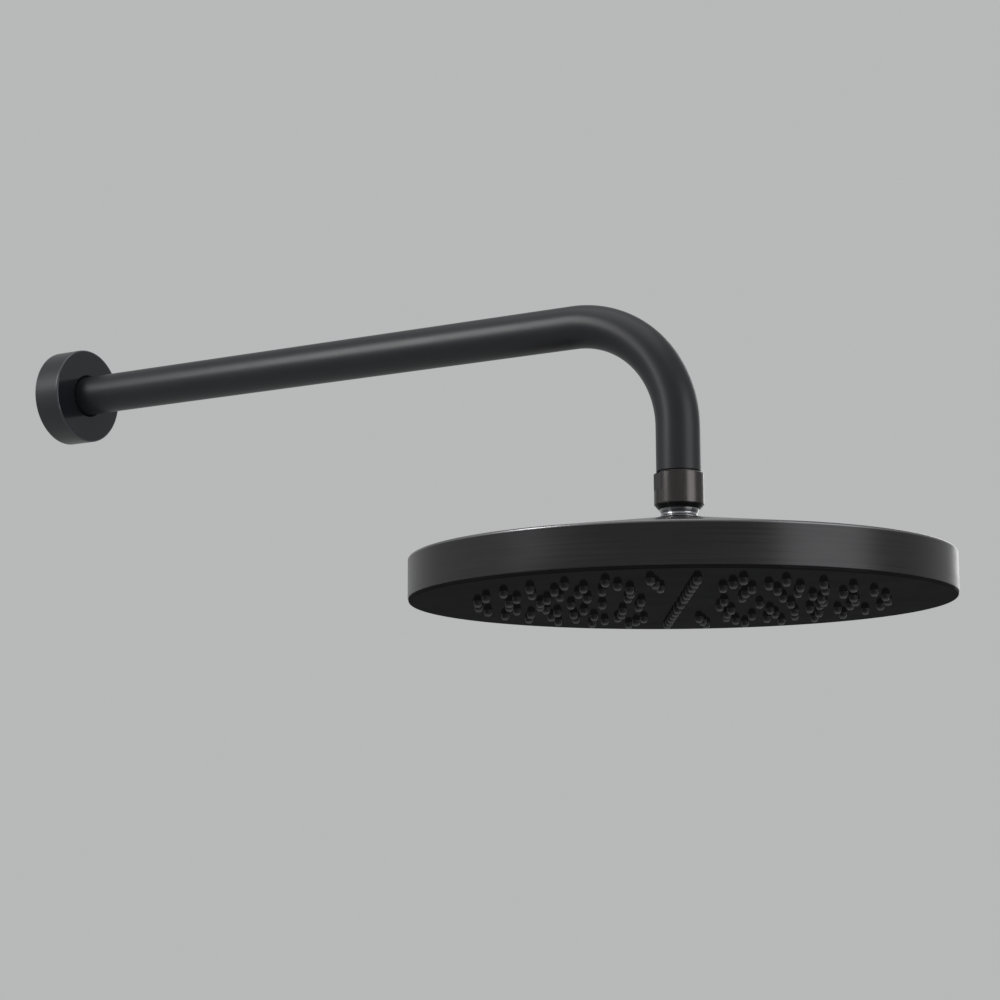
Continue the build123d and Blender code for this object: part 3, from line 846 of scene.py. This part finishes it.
class SHOWER_OT_swivel_collar(bpy.types.Operator):
    """Build the collar with its two spanner flats"""

    bl_idname = "shower.swivel_collar"
    bl_label = "Swivel collar"

    def execute(self, context):
        joint = context.scene.shower_joint
        node = "swivel_collar"
        outer, bottom, top = width(node, Y) / 2, low(node, Z), high(node, Z)
        step, edge = top - joint.flat_height, joint.collar_edge
        seat, ceiling = high("retaining_ring", Z) + RING_SEAT_PLAY, high("thrust_ring", Z)
        cavity = width("thrust_ring", Y) / 2 + joint.ball_play
        thread = width("filter_washer", Y) / 2 + WASHER_PLAY
        upper = np.array(
            (
                (thread, top),
                (outer - 2 * edge, top),
                (outer, top),
                (outer, top - 0.1 * MM),
                (outer, top - edge),
                (outer, top - 1.8 * edge),
                (outer, step + 0.3 * MM),
                (outer, step),
            )
        )
        lower = outline(
            (
                (outer, step),
                (outer, bottom, 0.3 * MM),
                (RING_THREAD, bottom, 0.15 * MM),
                (RING_THREAD, seat),
                (cavity, seat),
                (cavity, ceiling),
                (thread, ceiling),
                (thread, step),
            )
        )
        lower = lower[(lower[:, 1] < step - TINY) | (lower[:, 0] > outer - TINY)]
        cut = self.flatten(upper, joint.flats / 2, joint.flat_angle, top - edge, edge)
        radius = np.vstack((cut, np.repeat(lower[:, :1], COLLAR_COLUMNS, axis=1)))
        height = np.concatenate((upper[:, 1], lower[:, 1]))
        grid = turned(radius, height, COLLAR_COLUMNS)
        finish = brushed_gunmetal(joint.gunmetal, joint.flats, joint.flat_angle, step)
        put_grid("swivel_collar_sleeve", grid, finish, "arm", [node])
        return {"FINISHED"}

    def flatten(self, rows, half_flats, flat_angle, bevel_foot, edge):
        """Radius of the upper rows with the flats cut away.

        A flat at half the size across flats stands at half / |cos(a - flat angle)| from the axis,
        with the cosine held over MIN_COSINE, and the radius is the smaller of that and the row's
        own. The top bevel follows the outline that results.
        """
        cosine = np.abs(np.cos(around(COLLAR_COLUMNS) - flat_angle))
        radius = np.minimum(rows[:, :1], half_flats / np.maximum(cosine, MIN_COSINE))
        bevel = np.clip((rows[:, 1:] - bevel_foot) / edge, 0.0, 1.0) * edge
        return np.where(rows[:, :1] > half_flats, radius - bevel, rows[:, :1])


class SHOWER_OT_retaining_ring(bpy.types.Operator):
    """Turn the bevelled ring under the collar, with its spherical seat"""

    bl_idname = "shower.retaining_ring"
    bl_label = "Retaining ring"

    def execute(self, context):
        joint = context.scene.shower_joint
        node = "retaining_ring"
        bottom, top, lip = low(node, Z), high(node, Z), width(node, Y) / 2
        seat = joint.ball_diameter / 2 + joint.ball_play
        bevel_top = low("swivel_collar", Z)
        thread = RING_THREAD - joint.ball_play
        # The seat is a sphere about the ball's centre, and the mouth is its radius at the underside
        mouth = sqrt(seat**2 - (BALL_Z - bottom) ** 2)
        body = outline(
            (
                (mouth, bottom, 0.15 * MM),
                (lip - joint.ring_bevel, bottom, 0.4 * MM),
                (lip, bevel_top, 0.15 * MM),
                (thread, bevel_top),
                (thread, top, 0.2 * MM),
                (seat, top),
                (seat, BALL_Z),
            )
        )
        mouth_angle = np.arcsin((bottom - BALL_Z) / seat)
        sphere = circle_run((0.0, BALL_Z), seat, 0.0, mouth_angle, SEAT_STEPS)[1:-1]
        profile = np.vstack((body, sphere))
        grid = turned(*profile.T, JOINT_COLUMNS)
        finish = turned_black(joint.black)
        put_grid("retaining_ring_bevel", grid, finish, "arm", [node])
        return {"FINISHED"}


class SHOWER_OT_ball_stem(bpy.types.Operator):
    """Turn the ball with its waisted neck, flared bell and shank"""

    bl_idname = "shower.ball_stem"
    bl_label = "Ball stem"

    def execute(self, context):
        joint = context.scene.shower_joint
        node = "ball_stem"
        ball, bore, stem = joint.ball_diameter / 2, joint.stem_bore / 2, joint.stem_diameter / 2
        bell, top, end = width(node, Y) / 2, high(node, Z), low(node, Z)
        foot = high("stem_washer", Z)
        neck = joint.neck_diameter / 2
        neck_z = BALL_Z - sqrt(ball**2 - neck**2)
        crown, waist = np.arcsin((np.array((top, neck_z)) - BALL_Z) / ball)
        sphere = circle_run((0.0, BALL_Z), ball, crown, waist, BALL_STEPS)
        # The flare is an arc that leaves the neck upright and ends at the bell's edge: its radius
        # is (fall squared + spread squared) / (2 spread)
        flare_end = foot + joint.bell_edge
        fall, spread = neck_z - flare_end, bell - neck
        flare_radius = (fall**2 + spread**2) / (2 * spread)
        flare_angle = pi + np.arcsin(fall / flare_radius)
        flare_centre = (neck + flare_radius, neck_z)
        flare = circle_run(flare_centre, flare_radius, pi, flare_angle, FLARE_STEPS)
        rest = np.array(
            (
                (bell, foot + 0.15 * MM),
                (bell - 0.15 * MM, foot),
                (stem, foot),
                (stem, foot - 0.4 * MM),
                (stem, end + 0.5 * MM),
                (stem - 0.5 * MM, end),
                (bore + 0.3 * MM, end),
                (bore, end + 0.3 * MM),
                (bore, top - 0.4 * MM),
                (bore + 0.4 * MM, top),
            )
        )
        profile = np.vstack((sphere, flare[1:], rest))
        grid = turned(*profile.T, JOINT_COLUMNS)
        put_grid("ball_stem_bell", grid, polished_chrome(joint.chrome), "head", [node])
        return {"FINISHED"}


class SHOWER_OT_top_shell(bpy.types.Operator):
    """Spin the head's cover: land, shallow cone and rim in one wall"""

    bl_idname = "shower.top_shell"
    bl_label = "Top cover"

    def execute(self, context):
        head = context.scene.shower_head
        node = "top_shell"
        outer, bottom, land_z = width(node, Y) / 2, low(node, Z), high(node, Z)
        land, rim_top = head.land_diameter / 2, high(node, Z) - head.cone_rise
        bore = width("ball_stem", Y) / 2 - BELL_OVERLAP
        # The cone's inside lies one wall from it, measured square to the slope
        slope = head.cone_rise / (outer - land)
        drop = head.wall * sqrt(1 + slope**2)
        inner = outer - head.wall
        profile = outline(
            (
                (bore, land_z, 0.2 * MM),
                (land, land_z),
                (outer, rim_top, head.top_edge),
                (outer, bottom, head.bottom_edge),
                (inner, bottom),
                (inner, rim_top + slope * head.wall - drop),
                (land - (drop - head.wall) / slope, land_z - head.wall),
                (bore, land_z - head.wall),
            ),
            COVER_STEPS,
        )
        grid = turned(*profile.T, HEAD_COLUMNS)
        finish = cover_coat(head.colour, rim_top, outer)
        put_grid("top_shell_cover", grid, finish, "head", [node])
        return {"FINISHED"}


class SHOWER_OT_face_edge(bpy.types.Operator):
    """Round the edge of the face that shows under the rim"""

    bl_idname = "shower.face_edge"
    bl_label = "Face edge"

    def execute(self, context):
        head = context.scene.shower_head
        outer, bottom = width("face_plate", Y) / 2 + FACE_SKIN, low("face_plate", Z) - FACE_SKIN
        top = low("top_shell", Z) - FACE_SKIN
        root = outer - FACE_REACH * head.face_edge
        profile = outline(
            (
                (root, bottom),
                (outer, bottom, head.face_edge),
                (outer, top, 0.1 * MM),
                (root, top),
            ),
            FACE_STEPS,
        )
        grid = turned(*profile.T, HEAD_COLUMNS)
        put_grid("face_edge_ring", grid, gloss_black(head.face), "head", [])
        return {"FINISHED"}


class SHOWER_OT_nozzles(bpy.types.Operator):
    """Mould the soft sheet with its rings of nozzles"""

    bl_idname = "shower.nozzles"
    bl_label = "Nozzles"

    def execute(self, context):
        head = context.scene.shower_head
        node = "nozzle_mat"
        tip, mat_top = low(node, Z), high(node, Z)
        sheet_low = mat_top - SHEET
        orifice = head.nozzle_orifice / 2
        sheet = outline(
            (
                (orifice, sheet_low),
                (width(node, Y) / 2, sheet_low, 0.3 * MM),
                (width(node, Y) / 2, mat_top, 0.3 * MM),
                (orifice, mat_top),
            )
        )
        sheet_grid = turned(*sheet.T, SHEET_COLUMNS)
        nozzle_grid = self.nozzles(head, tip, sheet_low, orifice)
        count, rows, columns = nozzle_grid.shape[:3]
        sheet_points, nozzle_points = sheet_grid.reshape(-1, 3), nozzle_grid.reshape(-1, 3)
        sheet_faces = outwards(sheet_points, ring_faces(*sheet_grid.shape[:2]))
        single_faces = outwards(nozzle_points[: rows * columns], ring_faces(rows, columns))
        starts = len(sheet_points) + np.arange(count)[:, None, None] * (rows * columns)
        points = np.vstack((sheet_points, nozzle_points))
        faces = np.vstack((sheet_faces, (single_faces + starts).reshape(-1, 4)))
        finish = soft_rubber("nozzle_rubber", head.rubber, tip)
        put_piece(
            "nozzle_field", points, faces, finish, "head", [node], NOZZLE_CREASE
        )
        return {"FINISHED"}

    def nozzles(self, head, tip, root_z, orifice):
        """Grid of every nozzle: one turned profile moved to each spot.

        Spot k of a ring of n stands at the first spoke plus k turns / n, on radii in even steps
        from the margin inside the rim to the innermost ring, and one more stands on the axis.
        """
        counts = np.array(head.nozzle_rings)
        ring = np.repeat(np.arange(len(counts)), counts)
        place = np.arange(counts.sum()) - np.repeat(np.cumsum(counts) - counts, counts)
        angle = head.nozzle_spoke + 2 * pi * place / counts[ring]
        outermost = width("top_shell", Y) / 2 - head.nozzle_margin
        radius = outermost - ring * (outermost - head.nozzle_inner_ring) / (len(counts) - 1)
        spots = np.zeros((1 + len(angle), 3))
        spots[1:, X], spots[1:, Y] = radius * np.cos(angle), radius * np.sin(angle)
        side, edge = head.nozzle_tip / 2, head.nozzle_round
        bowl = [(side - inwards * edge, tip + upwards * edge) for inwards, upwards in BOWL]
        profile = np.array(
            (
                (head.nozzle_root / 2, root_z),
                (side + 0.04 * MM, tip + edge),
                *bowl,
                (orifice, tip + 0.1 * MM),
                (orifice, root_z),
            )
        )
        single = turned(*profile.T, head.nozzle_sides)
        return single[None] + spots[:, None, None, :]


class SHOWER_OT_carried_parts(bpy.types.Operator):
    """Give the parts that keep their CAD shape their finishes"""

    bl_idname = "shower.carried_parts"
    bl_label = "Face and inner parts"

    def execute(self, context):
        scene = context.scene
        arm, joint, head = scene.shower_arm, scene.shower_joint, scene.shower_head
        step = high("swivel_collar", Z) - joint.flat_height
        finishes = {
            "satin_black": satin_coat("outlet_satin_black", arm.colour, OUTLET_ROUGHNESS),
            "gunmetal": brushed_gunmetal(joint.gunmetal, joint.flats, joint.flat_angle, step),
            "black_oxide": turned_black(joint.black),
            "chrome": polished_chrome(joint.chrome),
            "gloss_black": gloss_black(head.face),
            "black_rubber": soft_rubber("seal_rubber", head.rubber),
            "brass": machined_brass(arm.brass),
            "white_plastic": moulded_plastic("white_acetal", WHITE_PLASTIC),
            "grey_plastic": moulded_plastic("grey_plastic", GREY_PLASTIC),
            "steel": bright_steel(),
        }
        for entry in frame["record"]["subparts"]:
            for slot in frame["nodes"][entry["node"]].material_slots:
                slot.material = finishes[entry["material_slot"]]
        return {"FINISHED"}


class SHOWER_OT_stage(bpy.types.Operator):
    """Lay the floor, set the lights and the surroundings and place the camera"""

    bl_idname = "shower.stage"
    bl_label = "Stage"

    def execute(self, context):
        stage = context.scene.shower_stage
        self.floor(stage)
        self.room(context.scene, stage)
        for name, (direction, distance, size, setting) in LIGHTS.items():
            self.softbox(name, direction, distance, size, getattr(stage, setting))
        self.camera(context.scene, stage)
        context.scene.view_settings.view_transform = "Standard"
        return {"FINISHED"}

    def floor(self, stage):
        """Round floor: radii and angles on a grid, flat, below the head."""
        radius = np.linspace(FLOOR_EYE, stage.floor_radius, FLOOR_ROWS)
        grid = turned(radius, np.full(FLOOR_ROWS, -stage.floor_drop), FLOOR_COLUMNS)
        rings = ring_faces(FLOOR_ROWS, FLOOR_COLUMNS)[:-FLOOR_COLUMNS, ::-1]
        eye = list(range(FLOOR_COLUMNS))
        mesh = bpy.data.meshes.new("floor")
        mesh.from_pydata(grid.reshape(-1, 3).tolist(), [], rings.tolist() + [eye])
        mesh.materials.append(pale_floor(stage.floor, stage.surroundings, stage.room_light))
        floor = bpy.data.objects.new("floor", mesh)
        bpy.context.scene.collection.objects.link(floor)

    def room(self, scene, stage):
        """Even pale surroundings."""
        world = bpy.data.worlds.new("pale_room")
        world.use_nodes = True
        background = next(node for node in world.node_tree.nodes if node.type == "BACKGROUND")
        background.inputs["Color"].default_value = shade(stage.surroundings, 1.0)
        background.inputs["Strength"].default_value = stage.room_light
        scene.world = world

    def softbox(self, name, direction, distance, size, power):
        """Rectangular soft light at a distance along a direction from its aim."""
        lamp = bpy.data.lights.new(name, "AREA")
        lamp.shape = "RECTANGLE"
        lamp.size, lamp.size_y = size
        lamp.energy = power
        light = bpy.data.objects.new(name, lamp)
        towards = Vector(direction).normalized()
        light.location = Vector(AIM) + towards * distance
        light.rotation_euler = towards.to_track_quat("Z", "Y").to_euler()
        light.visible_camera = False
        bpy.context.scene.collection.objects.link(light)

    def camera(self, scene, stage):
        """Camera that looks along its heading, tilted up by its pitch and rolled about its view."""
        heading, pitch, roll = stage.heading, stage.pitch, stage.roll
        view = Vector((-sin(heading) * cos(pitch), cos(heading) * cos(pitch), sin(pitch)))
        right = Vector((cos(heading), sin(heading), 0.0))
        up = right.cross(view)
        right, up = right * cos(roll) + up * sin(roll), up * cos(roll) - right * sin(roll)
        data = bpy.data.cameras.new("camera")
        data.sensor_fit = "HORIZONTAL"
        data.sensor_width = SENSOR
        data.lens = stage.lens
        camera = bpy.data.objects.new("camera", data)
        turn = Matrix((right, up, -view)).transposed().to_4x4()
        camera.matrix_world = Matrix.Translation(stage.camera) @ turn
        scene.collection.objects.link(camera)
        scene.camera = camera


class SHOWER_PT_panel(bpy.types.Panel):
    """Sizes, colours and build steps of the shower head"""

    bl_idname = "SHOWER_PT_panel"
    bl_label = "Rain shower head"
    bl_space_type = "VIEW_3D"
    bl_region_type = "UI"
    bl_category = "Shower"

    def draw(self, context):
        for name, group in GROUPS.items():
            box = self.layout.box()
            for setting in group.__annotations__:
                box.prop(getattr(context.scene, name), setting)
        for operator in OPERATORS:
            self.layout.operator(operator.bl_idname)


GROUPS = {
    "shower_arm": ArmSettings,
    "shower_joint": JointSettings,
    "shower_head": HeadSettings,
    "shower_stage": StageSettings,
}
OPERATORS = (
    SHOWER_OT_arm_tube,
    SHOWER_OT_wall_thread,
    SHOWER_OT_wall_flange,
    SHOWER_OT_swivel_collar,
    SHOWER_OT_retaining_ring,
    SHOWER_OT_ball_stem,
    SHOWER_OT_top_shell,
    SHOWER_OT_face_edge,
    SHOWER_OT_nozzles,
    SHOWER_OT_carried_parts,
    SHOWER_OT_stage,
)


def register():
    """Make the settings, the operators and the panel known to Blender."""
    for name, group in GROUPS.items():
        bpy.utils.register_class(group)
        setattr(bpy.types.Scene, name, PointerProperty(type=group))
    for operator in OPERATORS:
        bpy.utils.register_class(operator)
    bpy.utils.register_class(SHOWER_PT_panel)


def unregister():
    """Take the panel, the operators and the settings out again."""
    bpy.utils.unregister_class(SHOWER_PT_panel)
    for operator in reversed(OPERATORS):
        bpy.utils.unregister_class(operator)
    for name, group in GROUPS.items():
        delattr(bpy.types.Scene, name)
        bpy.utils.unregister_class(group)


def main():
    """Build every piece and the stage."""
    register()
    bpy.ops.shower.carried_parts()
    bpy.ops.shower.arm_tube()
    bpy.ops.shower.wall_thread()
    bpy.ops.shower.wall_flange()
    bpy.ops.shower.swivel_collar()
    bpy.ops.shower.retaining_ring()
    bpy.ops.shower.ball_stem()
    bpy.ops.shower.top_shell()
    bpy.ops.shower.face_edge()
    bpy.ops.shower.nozzles()
    bpy.ops.shower.stage()


if __name__ == "__main__":
    main()
